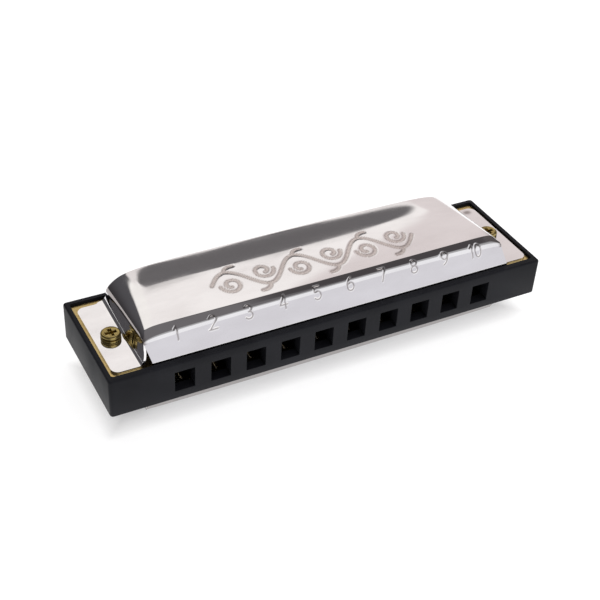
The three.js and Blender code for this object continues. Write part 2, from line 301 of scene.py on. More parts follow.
def weld(obj, distance=FINE_MERGE, sharp_angle=SHARP_ANGLE):
    """Closes a new piece's seams and poles and shades it."""
    clean_mesh(obj.data, distance, distance / 10)
    smooth_by_angle(obj, sharp_angle)


def finish_piece(obj, material, node):
    """Gives a piece its material, and lets it ride on the body in place of a CAD node."""
    obj.data.materials.clear()
    obj.data.materials.append(material)
    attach(obj, BODY)
    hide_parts(node)


def bevel(obj, width, angle=BEVEL_ANGLE):
    """Rounds a piece's sharp edges, as moulding or milling leaves them."""
    edge = obj.modifiers.new("soft edges", "BEVEL")
    edge.width = width * MM
    edge.segments = BEVEL_SEGMENTS
    edge.limit_method = "ANGLE"
    edge.angle_limit = math.radians(angle)
    edge.harden_normals = True
    edge.use_clamp_overlap = True


def node_copy(node, name):
    """A copy of a CAD node with its doubled corners merged and its flat faces made whole."""
    mesh = cad_nodes[node].data.copy()
    mesh.name = name
    clean_mesh(mesh, NODE_MERGE, FINE_MERGE, flat=FLAT_ANGLE)
    obj = bpy.data.objects.new(name, mesh)
    bpy.context.scene.collection.objects.link(obj)
    smooth_by_angle(obj)
    return obj


def lathe(name, profile, centre, turns, flip=False):
    """A profile of (radius, height) points carried round an upright axis at centre."""
    r, z = np.array(profile, float).T
    if flip:
        z = -z
    angle = np.linspace(0, 2 * math.pi, turns, endpoint=False)
    x = centre[0] + r[:, None] * np.cos(angle)
    y = centre[1] + r[:, None] * np.sin(angle)
    points = np.stack([x, y, np.broadcast_to(z[:, None], x.shape)], -1)
    quads = grid_quads(len(profile), turns, wrap=True)
    obj = new_object(name, place(points), quads.reshape(-1, 4))
    weld(obj)
    return obj


def arc_points(cx, cy, rx, ry, start, end, count=14):
    """Points on an ellipse's arc, with the angles in degrees."""
    a = np.radians(np.linspace(start, end, count))
    return np.stack([cx + rx * np.cos(a), cy + ry * np.sin(a)], -1)


def smooth_step(value, low, high):
    """0 below low, 1 above high, and 3 t^2 - 2 t^3 between them."""
    t = np.clip((value - low) / (high - low), 0, 1)
    return t * t * (3 - 2 * t)


# ------------------------------------------------------------------ materials

NOISE_ROUGHNESS = 0.55
BRASS_ROUGHNESS_SPREAD = (0.8, 1.25)
# Painted shade darkens the plate brass within this rectangle under the covers, with a soft edge.
COVER_SHADE_HALF = (END_X + 1.2, COVER_REAR)
COVER_SHADE_SOFTNESS = 0.5


def new_material(name, **values):
    """A Principled material and its tree, with uniform values set on the shader itself."""
    material = bpy.data.materials.new(name)
    material.use_nodes = True
    tree = material.node_tree
    shader = tree.nodes["Principled BSDF"]
    for key, value in values.items():
        shader.inputs[key.replace("_", " ")].default_value = value
    return material, tree, shader


def object_noise(tree, scale, stretch=(1, 1, 1), detail=3.0):
    """Noise on Object coordinates, in cycles per metre, stretched along the axes."""
    coordinates = tree.nodes.new("ShaderNodeTexCoord")
    mapping = tree.nodes.new("ShaderNodeMapping")
    mapping.inputs["Scale"].default_value = stretch
    noise = tree.nodes.new("ShaderNodeTexNoise")
    noise.inputs["Scale"].default_value = scale
    noise.inputs["Detail"].default_value = detail
    noise.inputs["Roughness"].default_value = NOISE_ROUGHNESS
    tree.links.new(coordinates.outputs["Object"], mapping.inputs["Vector"])
    tree.links.new(mapping.outputs["Vector"], noise.inputs["Vector"])
    return noise.outputs["Fac"]


def ranged(tree, value, low, high, from_low=0.3, from_high=0.7):
    """Maps a value onto the range low to high, clamped. Noise mostly lies between 0.3 and 0.7."""
    node = tree.nodes.new("ShaderNodeMapRange")
    node.inputs["From Min"].default_value = from_low
    node.inputs["From Max"].default_value = from_high
    node.inputs["To Min"].default_value = low
    node.inputs["To Max"].default_value = high
    tree.links.new(value, node.inputs["Value"])
    return node.outputs["Result"]


def mixed(tree, factor, first, second):
    """Mixes two colours, each a colour or a socket."""
    node = tree.nodes.new("ShaderNodeMix")
    node.data_type = "RGBA"
    tree.links.new(factor, node.inputs["Factor"])
    for socket, value in (("A", first), ("B", second)):
        target = next(s for s in node.inputs if s.name == socket and s.type == "RGBA")
        if isinstance(value, bpy.types.NodeSocket):
            tree.links.new(value, target)
        else:
            target.default_value = (*value, 1.0)
    return next(s for s in node.outputs if s.type == "RGBA")


def bumped(tree, shader, height, depth, strength):
    """Adds a bump of that depth in millimetres to the shader."""
    bump = tree.nodes.new("ShaderNodeBump")
    bump.inputs["Distance"].default_value = depth * MM
    bump.inputs["Strength"].default_value = strength
    tree.links.new(height, bump.inputs["Height"])
    tree.links.new(bump.outputs["Normal"], shader.inputs["Normal"])


def attribute(tree, name):
    """The value that a piece's corners carry under that name."""
    node = tree.nodes.new("ShaderNodeAttribute")
    node.attribute_name = name
    return node.outputs["Fac"]


def math_node(tree, operation, first, second=None):
    """One step of arithmetic on a socket, or on a socket and a second socket or number."""
    node = tree.nodes.new("ShaderNodeMath")
    node.operation = operation
    tree.links.new(first, node.inputs[0])
    if isinstance(second, bpy.types.NodeSocket):
        tree.links.new(second, node.inputs[1])
    elif second is not None:
        node.inputs[1].default_value = second
    return node.outputs[0]


def shade_under(tree, half, soft, outside, inside):
    """A colour that falls from outside to inside over soft mm at a rectangle about the origin.

    The distance is the larger of |x| - half width and |y| - half depth.
    """
    coordinates = tree.nodes.new("ShaderNodeTexCoord")
    split = tree.nodes.new("ShaderNodeSeparateXYZ")
    tree.links.new(coordinates.outputs["Object"], split.inputs[0])
    past = []
    for axis, reach in zip(("X", "Y"), half):
        size = math_node(tree, "ABSOLUTE", split.outputs[axis])
        past.append(math_node(tree, "SUBTRACT", size, reach * MM))
    distance = math_node(tree, "MAXIMUM", *past)
    edge = ranged(tree, distance, 0.0, 1.0, from_low=-soft * MM, from_high=soft * MM)
    return mixed(tree, edge, inside, outside)


def sheet_steel():
    """Polished stamped steel: a mirror with faint smears and hairlines, and matt engraving.

    The etch attribute makes it matt and mottled, and the line attribute darkens it: painted shade
    on the folds, in the numerals' grooves, at the engraving's edges and on the lower cover's wall,
    and a stamp.
    """
    material, tree, shader = new_material("polished cover steel", Metallic=1.0)
    clean = (0.90, 0.885, 0.885)
    smeared = (0.82, 0.80, 0.80)
    etched = (0.70, 0.63, 0.60)
    etched_light = (0.86, 0.80, 0.77)
    # The dark colour that the line attribute mixes in: painted shade, and the stamp's own colour.
    outline = (0.20, 0.165, 0.155)
    etched_roughness = 0.22
    smears = object_noise(tree, 90.0, stretch=(1, 2.4, 2.4), detail=4.0)
    hatch = object_noise(tree, 2600.0, stretch=(1, 0.6, 1), detail=2.0)
    hairlines = object_noise(tree, 900.0, stretch=(0.05, 1.2, 1.2))
    smear = ranged(tree, smears, 0.0, 1.0, from_low=0.35, from_high=0.75)
    colour = mixed(tree, smear, clean, smeared)
    mottle = ranged(tree, hatch, 0.0, 0.6, from_low=0.35, from_high=0.65)
    mottled = mixed(tree, mottle, etched, etched_light)
    colour = mixed(tree, attribute(tree, "etch"), colour, mottled)
    colour = mixed(tree, attribute(tree, "line"), colour, outline)
    tree.links.new(colour, shader.inputs["Base Color"])
    sheen = ranged(tree, smears, 0.055, 0.12, from_low=0.35, from_high=0.7)
    matt = math_node(tree, "MULTIPLY", attribute(tree, "etch"), etched_roughness)
    tree.links.new(math_node(tree, "ADD", matt, sheen), shader.inputs["Roughness"])
    bumped(tree, shader, hairlines, depth=0.004, strength=0.35)
    return material


def unpolished_steel_painted_shade():
    """The sheet's inner side: dull steel with the grain left by rolling, dark as painted shade."""
    material, tree, shader = new_material("unpolished cover steel, painted shade", Metallic=1.0)
    # Dark colours: painted shade inside the covers, over the dull steel's own tone.
    light = (0.20, 0.195, 0.195)
    dark = (0.13, 0.125, 0.125)
    patches = object_noise(tree, 140.0, detail=4.0)
    grain = object_noise(tree, 1400.0, stretch=(0.05, 1, 1))
    colour = mixed(tree, ranged(tree, patches, 0.0, 1.0), light, dark)
    tree.links.new(colour, shader.inputs["Base Color"])
    tree.links.new(ranged(tree, grain, 0.42, 0.58), shader.inputs["Roughness"])
    bumped(tree, shader, grain, depth=0.004, strength=0.5)
    return material


def comb_plastic():
    """Moulded near-black plastic: a fine pebbled skin with slightly uneven sheen."""
    material, tree, shader = new_material("moulded comb plastic", Specular_IOR_Level=0.13)
    dark = (0.0085, 0.0088, 0.0112)
    light = (0.015, 0.0155, 0.0192)
    patches = object_noise(tree, 120.0, detail=4.0)
    skin = object_noise(tree, 3800.0, detail=2.0)
    colour = mixed(tree, ranged(tree, patches, 0.0, 1.0), dark, light)
    tree.links.new(colour, shader.inputs["Base Color"])
    tree.links.new(ranged(tree, patches, 0.45, 0.57), shader.inputs["Roughness"])
    bumped(tree, shader, skin, depth=0.006, strength=0.5)
    return material


def brass(name, light, dark, roughness, grain, stretch, painted_cover_shade=None):
    """Brass with tarnish between two colours and a fine grain stretched along the cut.

    Under the covers it takes a darker colour, a painted shade.
    """
    material, tree, shader = new_material(name, Metallic=1.0)
    tarnish = object_noise(tree, 160.0, detail=4.0)
    marks = object_noise(tree, grain, stretch)
    colour = mixed(tree, ranged(tree, tarnish, 0.0, 1.0), light, dark)
    if painted_cover_shade is not None:
        colour = shade_under(tree, COVER_SHADE_HALF, COVER_SHADE_SOFTNESS, colour, painted_cover_shade)
    tree.links.new(colour, shader.inputs["Base Color"])
    low, high = (roughness * share for share in BRASS_ROUGHNESS_SPREAD)
    tree.links.new(ranged(tree, marks, low, high), shader.inputs["Roughness"])
    bumped(tree, shader, marks, depth=0.004, strength=0.5)
    return material


STEEL = sheet_steel()
INNER_STEEL = unpolished_steel_painted_shade()
PLASTIC = comb_plastic()
PLATE_BRASS = brass(
    "milled plate brass",
    light=(0.80, 0.62, 0.28),
    dark=(0.66, 0.48, 0.19),
    roughness=0.30,
    grain=1500.0,
    stretch=(0.06, 1, 1),
    # Painted shade under the covers.
    painted_cover_shade=(0.13, 0.095, 0.035),
)
REED_BRASS = brass(
    "ground reed brass",
    light=(0.86, 0.70, 0.36),
    dark=(0.74, 0.56, 0.26),
    roughness=0.24,
    grain=2600.0,
    stretch=(1, 0.06, 1),
)
RIVET_BRASS = brass(
    "pressed rivet brass",
    light=(0.70, 0.52, 0.24),
    dark=(0.50, 0.35, 0.15),
    roughness=0.32,
    grain=1800.0,
    stretch=(1, 1, 1),
)
SCREW_BRASS = brass(
    "turned screw brass",
    light=(0.50, 0.395, 0.15),
    dark=(0.31, 0.23, 0.08),
    roughness=0.15,
    grain=2200.0,
    stretch=(1, 1, 0.15),
)

# ------------------------------------------------------------------ the covers' outer face


def how_far_back(y):
    """0 at the ridge and 1 at the cover's rear."""
    return np.clip((y - RIDGE_Y) / (COVER_REAR - RIDGE_Y), 0, 1)


def line_height(y):
    """Height of the end wall's top edge, which drops in a straight line towards the rear."""
    return RIDGE_Z + (LINE_REAR_Z - RIDGE_Z) * how_far_back(y)


def middle_height(y):
    """Height of the cover's middle: the facet, a rise to the crown and a fall to the rear edge."""
    facet = RIDGE_Z + (FACET_Z - RIDGE_Z) * (y - RIDGE_Y) / (FACET_Y - RIDGE_Y)
    up = np.clip((CROWN_FRONT - y) / (CROWN_FRONT - FACET_Y), 0, 1)
    down = np.clip((y - CROWN_REAR) / (COVER_REAR - CROWN_REAR), 0, 1)
    top = CROWN - (CROWN - FACET_Z) * up ** CROWN_CURVE - REAR_DROP * down ** 2
    return np.where(y < FACET_Y, facet, top)


def top_height(x, y):
    """The cover's height: a short steep edge above the end wall, then a shoulder up to the middle.

    Each is an exponential approach, 1 - exp(-distance / width), so the shoulder starts at the same
    slope everywhere and is wider where it has further to rise.
    """
    line = line_height(y)
    inward = np.clip(END_X - np.abs(x), 0, None)
    rise = np.maximum(middle_height(y) - line, LEAST_RISE)
    edge = EDGE_RISE_FRONT + (EDGE_RISE_REAR - EDGE_RISE_FRONT) * how_far_back(y)
    edge = np.minimum(edge, rise * EDGE_RISE_SHARE)
    rest = rise - edge
    edge = edge * (1 - np.exp(-inward / EDGE_RISE_WIDTH))
    return line + edge + rest * (1 - np.exp(-SHOULDER_SLOPE * inward / rest))


def front_profile(x):
    """Points of the front, from the foot of the wall to the facet's top, at each x.

    The wall is a straight line from its foot to the ridge and the facet one from the ridge to the
    top, with a quadratic Bezier curve round the ridge between them. The ridge is arched along x,
    by 1 minus the cube of the way to the end. Returns an array of rows x len(x) x 3.
    """
    arch = 1 - (np.abs(x) / END_X) ** 3
    ridge = np.stack([x, RIDGE_Y + RIDGE_ARCH_BACK * arch, RIDGE_Z + RIDGE_ARCH * arch], -1)
    foot = np.stack([x, np.full_like(x, FOOT_Y), np.full_like(x, RIM_TOP)], -1)
    base = np.stack([x, np.full_like(x, FOOT_Y), np.full_like(x, COVER_FOOT)], -1)
    facet_y = np.full_like(x, FACET_Y)
    top = np.stack([x, facet_y, top_height(x, facet_y)], -1)
    below = ridge + (foot - ridge) * RIDGE_BEND_BELOW
    above = ridge + (top - ridge) * RIDGE_BEND_ABOVE
    base_t = BASE_SHARES[:, None, None]
    wall_t = WALL_SHARES[:, None, None]
    bend_t = np.linspace(0, 1, RIDGE_BEND_ROWS + 1)[1:, None, None]
    facet_t = np.linspace(0, 1, FACET_ROWS + 1)[1:, None, None]
    base_rows = base * (1 - base_t) + foot * base_t
    wall_rows = foot + (below - foot) * wall_t
    bend_rows = below * (1 - bend_t) ** 2 + ridge * 2 * bend_t * (1 - bend_t) + above * bend_t ** 2
    facet_rows = above + (top - above) * facet_t
    return np.concatenate([base_rows, wall_rows, bend_rows, facet_rows])


def column_places(fine):
    """Places of the columns along x, close together where the numerals and engraving need it."""
    if not fine:
        half = np.concatenate([np.linspace(0, PLAIN_END, PLAIN_COLUMNS), END_X - END_STEPS[::-1]])
        return np.concatenate([-half[:0:-1], half])
    middle = []
    x = -FINE_END
    while x < FINE_END:
        middle.append(x)
        to_numeral = [abs(x - hole_x(i)) for i in range(HOLE_COUNT)]
        to_numeral[-1] -= TWO_DIGIT_REACH
        if min(to_numeral) < NUMERAL_REACH:
            x += NUMERAL_STEP
        elif abs(x) < ENGRAVING_HALF_LENGTH:
            x += ENGRAVING_STEP
        else:
            x += PLAIN_STEP
    return np.concatenate([-END_X + END_STEPS, middle, END_X - END_STEPS[::-1]])


def row_places(fine):
    """Places of the rows along y over the top, from just behind the facet to the rear."""
    rear = COVER_REAR - HEM_RADIUS
    if not fine:
        return np.linspace(FACET_Y, rear, PLAIN_ROWS)[1:]
    near = np.linspace(FACET_Y, ENGRAVING_FRONT, NEAR_ROWS)[1:]
    middle = np.arange(ENGRAVING_FRONT + ROW_STEP, ENGRAVING_REAR, ROW_STEP)
    far = np.linspace(ENGRAVING_REAR, rear, FAR_ROWS)
    return np.concatenate([near, middle, far])


def tab_columns(ys):
    """The tab's columns, from its outer edge to the foot bend.

    Its front and rear edges leave the wall, run out straight and turn round the outer corners in
    arcs. The rear edge runs out by a smooth step.
    """
    corner = np.linspace(0, math.pi / 2, CORNER_COLUMNS)
    outer = TAB_OUTER - TAB_CORNER * (1 - np.cos(corner))
    bend_start = END_X + WALL_LEAN + FOOT_BEND_WIDTH
    inner = np.linspace(TAB_OUTER - TAB_CORNER, bend_start, TAB_COLUMNS + 2)[1:-1]
    x = np.concatenate([outer, inner])
    past = np.maximum(0.0, x - (TAB_OUTER - TAB_CORNER))
    turn = TAB_CORNER - np.sqrt(np.maximum(0.0, TAB_CORNER ** 2 - past ** 2))
    out = smooth_step(x, bend_start, bend_start + TAB_EDGE_RUN)
    front = TAB_FRONT + turn
    rear = ys[-1] + (TAB_REAR - ys[-1]) * out - turn
    back = (ys - ys[0]) / (ys[-1] - ys[0])
    y = front + (rear - front) * back[:, None]
    return np.stack([np.broadcast_to(x, y.shape), y, np.full_like(y, TAB_TOP)], -1)


def wall_columns(ys):
    """The end wall's columns, from the tab over the foot bend to just under the wall's top.

    The wall leans outwards as it goes down. The bend is a quarter of an ellipse.
    """
    line = line_height(ys)[:, None]
    lean = WALL_LEAN * (line - TAB_TOP) / (RIDGE_Z - TAB_TOP)
    foot = END_X + lean
    rise = np.minimum(FOOT_BEND_HEIGHT, (line - TAB_TOP) * FOOT_BEND_SHARE)
    angle = np.linspace(0, math.pi / 2, BEND_COLUMNS)
    share = np.linspace(0, 1, END_WALL_COLUMNS + 2)[1:-1]
    bend_x = foot + FOOT_BEND_WIDTH * (1 - np.sin(angle))
    bend_z = TAB_TOP + rise * (1 - np.cos(angle))
    wall_x = foot + (END_X - foot) * share
    wall_z = TAB_TOP + rise + (line - TAB_TOP - rise) * share
    x = np.concatenate([bend_x, wall_x], 1)
    z = np.concatenate([bend_z, wall_z], 1)
    front = RIDGE_Y + (TAB_FRONT - RIDGE_Y) * (RIDGE_Z - z[0]) / (RIDGE_Z - TAB_TOP)
    back = (ys - ys[0]) / (ys[-1] - ys[0])
    y = front + (ys[-1] - front) * back[:, None]
    return np.stack([x, y, z], -1)


def outward_normals(points):
    """Unit normals of a grid of points, from the cross product of its two directions."""
    along = np.gradient(points, axis=1)
    up = np.gradient(points, axis=0)
    normal = np.cross(along, up)
    return normal / np.maximum(np.linalg.norm(normal, axis=-1, keepdims=True), TINY)


# ------------------------------------------------------------------ numerals and engraving


def digit_strokes(digit):
    """A digit as chains of points, one unit high and centred on x = 0."""
    p = np.array
    shapes = {
        "1": [p([(-0.16, 0.80), (0.04, 1.0), (0.04, 0.0)])],
        "2": [
            np.concatenate([
                arc_points(0, 0.73, 0.27, 0.27, 160, -35),
                p([(-0.30, 0.0), (0.30, 0.0)]),
            ])
        ],
        "3": [
            arc_points(0, 0.75, 0.24, 0.25, 150, -90),
            arc_points(0, 0.25, 0.29, 0.25, 90, -150),
        ],
        "4": [p([(0.13, 0.0), (0.13, 1.0), (-0.30, 0.30), (0.30, 0.30)])],
        "5": [
            np.concatenate([
                p([(0.26, 1.0), (-0.18, 1.0), (-0.22, 0.56)]),
                arc_points(0, 0.30, 0.28, 0.30, 118, -145),
            ])
        ],
        "6": [
            arc_points(0, 0.29, 0.27, 0.29, 0, 360, 20),
            arc_points(0.32, 0.33, 0.59, 0.67, 180, 108),
        ],
        "7": [p([(-0.28, 1.0), (0.28, 1.0), (-0.06, 0.0)])],
        "8": [
            arc_points(0, 0.76, 0.22, 0.24, 0, 360, 18),
            arc_points(0, 0.26, 0.27, 0.26, 0, 360, 20),
        ],
        "9": [
            arc_points(0, 0.71, 0.27, 0.29, 0, 360, 20),
            arc_points(-0.32, 0.67, 0.59, 0.67, 0, -72),
        ],
        "0": [arc_points(0, 0.5, 0.26, 0.5, 0, 360, 24)],
    }
    return shapes[digit]


def numeral_strokes():
    """The numbers 1 to 10, one above each hole, as (x, height above the numeral's foot) chains."""
    chains = []
    for i in range(HOLE_COUNT):
        text = str(i + 1)
        for k, digit in enumerate(text):
            shift = hole_x(i) + (k - (len(text) - 1) / 2) * NUMERAL_SPACING
            for chain in digit_strokes(digit):
                chains.append(chain * (NUMERAL_WIDTH, NUMERAL_HEIGHT) + (shift, 0))
    return chains


def scroll_strokes():
    """A running scroll: a wave along x with a curl in each bend and a small leaf beside it.

    The wave is a sine. Each curl is a spiral whose radius shrinks as it turns.
    """
    middle = (ENGRAVING_FRONT + ENGRAVING_REAR) / 2
    length = 2 * (ENGRAVING_HALF_LENGTH - SCROLL_END_GAP)
    step = length / SCROLL_BENDS
    x = np.linspace(-length / 2, length / 2, WAVE_POINTS)
    wave = np.stack([x, middle + SCROLL_REACH * np.sin(math.pi * (x + length / 2) / step)], -1)
    turn = np.linspace(0, CURL_TURNS * 2 * math.pi, CURL_POINTS)
    radius = CURL_RADIUS * (1 - turn / (CURL_CLOSING_TURNS * 2 * math.pi))
    chains = [wave]
    for bend in range(SCROLL_BENDS):
        side = 1 if bend % 2 == 0 else -1
        hub = np.array([(bend + 0.5) * step - length / 2, middle - side * CURL_INSET])
        start = 180 if side > 0 else 0
        angle = math.radians(start) + turn
        curl = np.stack([radius * np.cos(angle), side * radius * np.sin(angle)], -1)
        chains.append(curl + hub)
        leaf_end = start - LEAF_TURN
        leaf = arc_points(
            side * LEAF_LENGTH, 0, LEAF_LENGTH, LEAF_HEIGHT, start, leaf_end, LEAF_POINTS
        )
        chains.append(leaf + hub + (side * LEAF_SHIFT, side * (SCROLL_REACH + LEAF_GAP)))
    return chains


def distance_to_strokes(places, strokes):
    """Shortest distance from each place to the strokes, each a chain of points."""
    best = np.full(len(places), FAR)
    for stroke in strokes:
        for a, b in zip(stroke[:-1], stroke[1:]):
            ab = b - a
            t = np.clip(((places - a) @ ab) / max(ab @ ab, TINY), 0, 1)
            best = np.minimum(best, np.linalg.norm(places - (a + t[:, None] * ab), axis=1))
    return best


def numeral_cut(part):
    """How far each corner of the middle lies inside a numeral's stroke, from 0 to 1.

    Heights are lengths along the surface from the middle of the bend at the ridge.
    """
    steps = np.linalg.norm(np.diff(part, axis=0), axis=-1)
    run = np.concatenate([np.zeros((1, part.shape[1])), np.cumsum(steps, 0)])
    height = run - run[BEND_ROW] - NUMERAL_ABOVE_RIDGE + NUMERAL_HEIGHT
    places = np.stack([part[..., 0], height], -1).reshape(-1, 2)
    near = np.abs(places[:, 1] - NUMERAL_HEIGHT / 2) < NUMERAL_HEIGHT / 2 + NUMERAL_MARGIN
    gap = np.full(len(places), FAR)
    gap[near] = distance_to_strokes(places[near], numeral_strokes())
    low, high = (NUMERAL_HALF_STROKE * share for share in NUMERAL_EDGE)
    return 1 - smooth_step(gap, low, high).reshape(part.shape[:2])


def engraving_gap(part):
    """Distance from each corner of the middle to the engraving's strokes, seen from above."""
    places = part[..., :2].reshape(-1, 2)
    near = np.abs(places[:, 0]) < ENGRAVING_HALF_LENGTH + ENGRAVING_MARGIN
    near &= places[:, 1] > ENGRAVING_FRONT - ENGRAVING_MARGIN
    near &= places[:, 1] < ENGRAVING_REAR + ENGRAVING_MARGIN
    gap = np.full(len(places), FAR)
    gap[near] = distance_to_strokes(places[near], scroll_strokes())
    return gap.reshape(part.shape[:2])


# ------------------------------------------------------------------ covers


def middle_grid(xs, ys, under):
    """The cover between its end walls: the front's rows, then the top's rows.

    The rear rows bow back in the middle by 1 - (x / half length)^2. The front wall's ends are
    shifted along x towards its foot.
    """
    front = front_profile(xs)
    ridge_z = front[RIDGE_ROW, 0, 2]
    down = np.clip((ridge_z - front[..., 2]) / (ridge_z - RIM_TOP), 0, 1)
    near_end = smooth_step(np.abs(front[..., 0]), END_X - WALL_END_SHIFT_LENGTH, END_X)
    x, y = np.meshgrid(xs, ys)
    back = np.clip((y - CROWN_REAR) / (ys[-1] - CROWN_REAR), 0, 1)
    y = y + REAR_BOW * back ** 2 * (1 - (x / END_X) ** 2)
    top = np.stack([x, y, top_height(x, y)], -1)
    front[..., 0] += (-1 if under else 1) * WALL_END_SHIFT * near_end * down
    return np.concatenate([front, top])


def painted_fold_shade(xs, ys):
    """Painted shade along the fold over each end wall: a bell curve, wider at the rear."""
    width = FOLD_LINE_WIDTH * (1 + FOLD_LINE_GROWTH * how_far_back(ys))
    inward = np.clip(END_X - np.abs(xs), 0, None)
    return FOLD_PAINTED_SHADE * np.exp(-(inward / width[:, None]) ** 2)


def rear_hem(edge):
    """Rows that fold the rear edge in: half a circle, then a straight tail towards the front."""
    tangent = np.gradient(edge, axis=0)
    inward = np.stack([tangent[:, 2], np.zeros(len(edge)), -tangent[:, 0]], -1)
    inward /= np.maximum(np.linalg.norm(inward, axis=-1, keepdims=True), TINY)
    rows = []
    for angle in np.linspace(0, math.pi, HEM_ROWS + 1)[1:]:
        fold = inward * HEM_RADIUS * (1 - math.cos(angle))
        rows.append(edge + (0, HEM_RADIUS * math.sin(angle), 0) + fold)
    for tail in np.linspace(0, HEM_TAIL, HEM_TAIL_ROWS + 1)[1:]:
        rows.append(edge - (0, tail, 0) + inward * 2 * HEM_RADIUS)
    return np.array(rows)


def cover_surface(fine, under):
    """The cover's outer face as one grid, with its hem, and each corner's etch and line values.

    Rows run from the front wall's foot over the ridge and the top to the folded rear hem. Columns
    run from the left tab's outer edge to the right one's. The rows below the ridge have no end
    columns, and the hem has none on the tabs.
    """
    xs = column_places(fine)
    ys = row_places(fine)
    middle = middle_grid(xs, ys, under)
    end_ys = np.concatenate([middle[RIDGE_ROW:-len(ys), 0, 1], ys])
    ends = np.concatenate([tab_columns(end_ys), wall_columns(end_ys)], 1)
    rows = len(middle)
    first = ends.shape[1]
    last = first + len(xs)
    right = np.zeros((rows, first, 3))
    right[RIDGE_ROW:] = ends
    right[:RIDGE_ROW] = middle[:RIDGE_ROW, -1:, :]
    left = right * (-1, 1, 1)
    surface = np.concatenate([left, middle, right[:, ::-1]], 1)
    etch = np.zeros(surface.shape[:2])
    line = np.zeros(surface.shape[:2])
    # Painted shade along the folds over the end walls.
    line[RIDGE_ROW:, first:last] = painted_fold_shade(xs, end_ys)
    line[RIDGE_ROW:, first - FOLD_LINE_COLUMNS:first] = FOLD_PAINTED_SHADE
    line[RIDGE_ROW:, last:last + FOLD_LINE_COLUMNS] = FOLD_PAINTED_SHADE
    if under:
        # Painted shade on the lower cover's wall and ridge bend.
        line[:LOWER_WALL_SHADE_ROWS, first:last] = LOWER_WALL_PAINTED_SHADE
    else:
        stamp = np.linalg.norm((surface[..., :2] - STAMP_PLACE) / STAMP_SIZE, axis=-1)
        line = np.maximum(line, STAMP_SHADE * np.exp(-stamp ** 4))
    if fine:
        part = surface[:, first:last]
        cut = numeral_cut(part)
        gap = engraving_gap(part)
        low, high = ENGRAVING_HALF_STROKE - ENGRAVING_EDGE, ENGRAVING_HALF_STROKE + ENGRAVING_EDGE
        inside = 1 - smooth_step(gap, low, high)
        rim = np.exp(-((gap - ENGRAVING_HALF_STROKE) / ENGRAVING_RIM_WIDTH) ** 2)
        # Painted shade in the numerals' grooves and along the engraving's edges.
        marks = np.maximum(NUMERAL_PAINTED_SHADE * cut, ENGRAVING_RIM_PAINTED_SHADE * rim)
        line[:, first:last] = np.maximum(line[:, first:last], marks)
        etch[:, first:last] = inside
        depth = np.zeros(surface.shape[:2])
        depth[:, first:last] = NUMERAL_DEPTH * cut + ENGRAVING_DEPTH * inside
        surface = surface - outward_normals(surface) * depth[..., None]
    hem = rear_hem(surface[-1])
    surface = np.concatenate([surface, hem])
    plain = np.zeros((len(hem), surface.shape[1]))
    etch = np.concatenate([etch, plain])
    line = np.concatenate([line, plain])
    quads = grid_quads(*surface.shape[:2])
    keep = np.ones(quads.shape[:2], bool)
    keep[:RIDGE_ROW, :first] = False
    keep[:RIDGE_ROW, last - 1:] = False
    tab = CORNER_COLUMNS + TAB_COLUMNS + BEND_COLUMNS - 1
    keep[rows - 1:, :tab] = False
    keep[rows - 1:, -tab:] = False
    return surface, quads[keep], etch, line


def cover(name, node, fine, under):
    """One stamped cover: the outer face above, given the sheet's thickness inwards."""
    surface, quads, etch, line = cover_surface(fine, under)
    if under:
        surface = surface * (-1, 1, -1)
    used = np.unique(quads)
    renumber = np.full(surface.shape[0] * surface.shape[1], -1)
    renumber[used] = np.arange(len(used))
    obj = new_object(name, place(surface)[used], renumber[quads])
    for key, values in (("etch", etch), ("line", line)):
        data = obj.data.attributes.new(key, "FLOAT", "POINT")
        data.data.foreach_set("value", values.ravel()[used].astype(np.float32))
    clean_mesh(obj.data, COVER_MERGE, FINE_MERGE, outwards=False)
    obj.data.shade_smooth()
    wall = obj.modifiers.new("sheet", "SOLIDIFY")
    wall.thickness = SHEET * MM
    wall.offset = -1.0
    wall.use_rim = True
    wall.use_even_offset = False
    wall.material_offset = 1
    bevel(obj, COVER_BEVEL, SHEET_BEVEL_ANGLE)
    finish_piece(obj, STEEL, node)
    obj.data.materials.append(INNER_STEEL)


cover("upper_cover_sheet", "upper_cover", fine=True, under=False)
cover("lower_cover_sheet", "lower_cover", fine=False, under=True)

# ------------------------------------------------------------------ comb and reed plates

comb_body = node_copy("comb", "comb_body")
bevel(comb_body, COMB_BEVEL)
finish_piece(comb_body, PLASTIC, "comb")

for plate_set in ("blow", "draw"):
    plate = node_copy(f"{plate_set}_reed_plate", f"{plate_set}_plate_milled")
    bevel(plate, PLATE_BEVEL)
    finish_piece(plate, PLATE_BRASS, f"{plate_set}_reed_plate")

# ------------------------------------------------------------------ reeds, rivets and pins

PAD_LENGTH = 3.3
PAD_HALF_WIDTH = 1.6
PAD_CHAMFER = 0.12
PAD_CHAMFER_RISE = 0.05
NECK_START = 0.25
NECK_END = 0.1
NECK_INSET = 0.15
NECK_RISE = 0.02
TONGUE_HALF_WIDTH = 1.13
TONGUE_TAPER = 0.03
TONGUE_SHARES = (0.0, 0.04, 0.12, 0.25, 0.4, 0.55, 0.7, 0.82, 0.9, 0.97, 1.0)
REED_THICKNESS = 0.25
REED_LIFT = 0.2
GROUND_AWAY = 0.42
GRINDING_REACH = 1.1
REED_CORNER = 0.04
REED_CORNER_SHARE = 0.3
REED_SHARP_ANGLE = 30.0
REED_MERGE = 1e-8

DOME_ANGLES = np.linspace(0, math.pi / 2, 8)
SMALL_TURNS = 24
RIVET_HEAD_RADIUS = 0.85
RIVET_HEAD_EDGE = 0.06
RIVET_DOME = 0.34
RIVET_RADIUS = 0.5
RIVET_PRESSED_RADIUS = 0.44
RIVET_PRESSED_DROP = 0.05
RIVET_PRESSED_RISE = 0.02
PIN_COUNT = 5
PIN_HEAD_RADIUS = 0.95
PIN_HEAD_EDGE = 0.06
PIN_DOME = 0.28
PIN_RADIUS = 0.55
PIN_POINT = 0.5


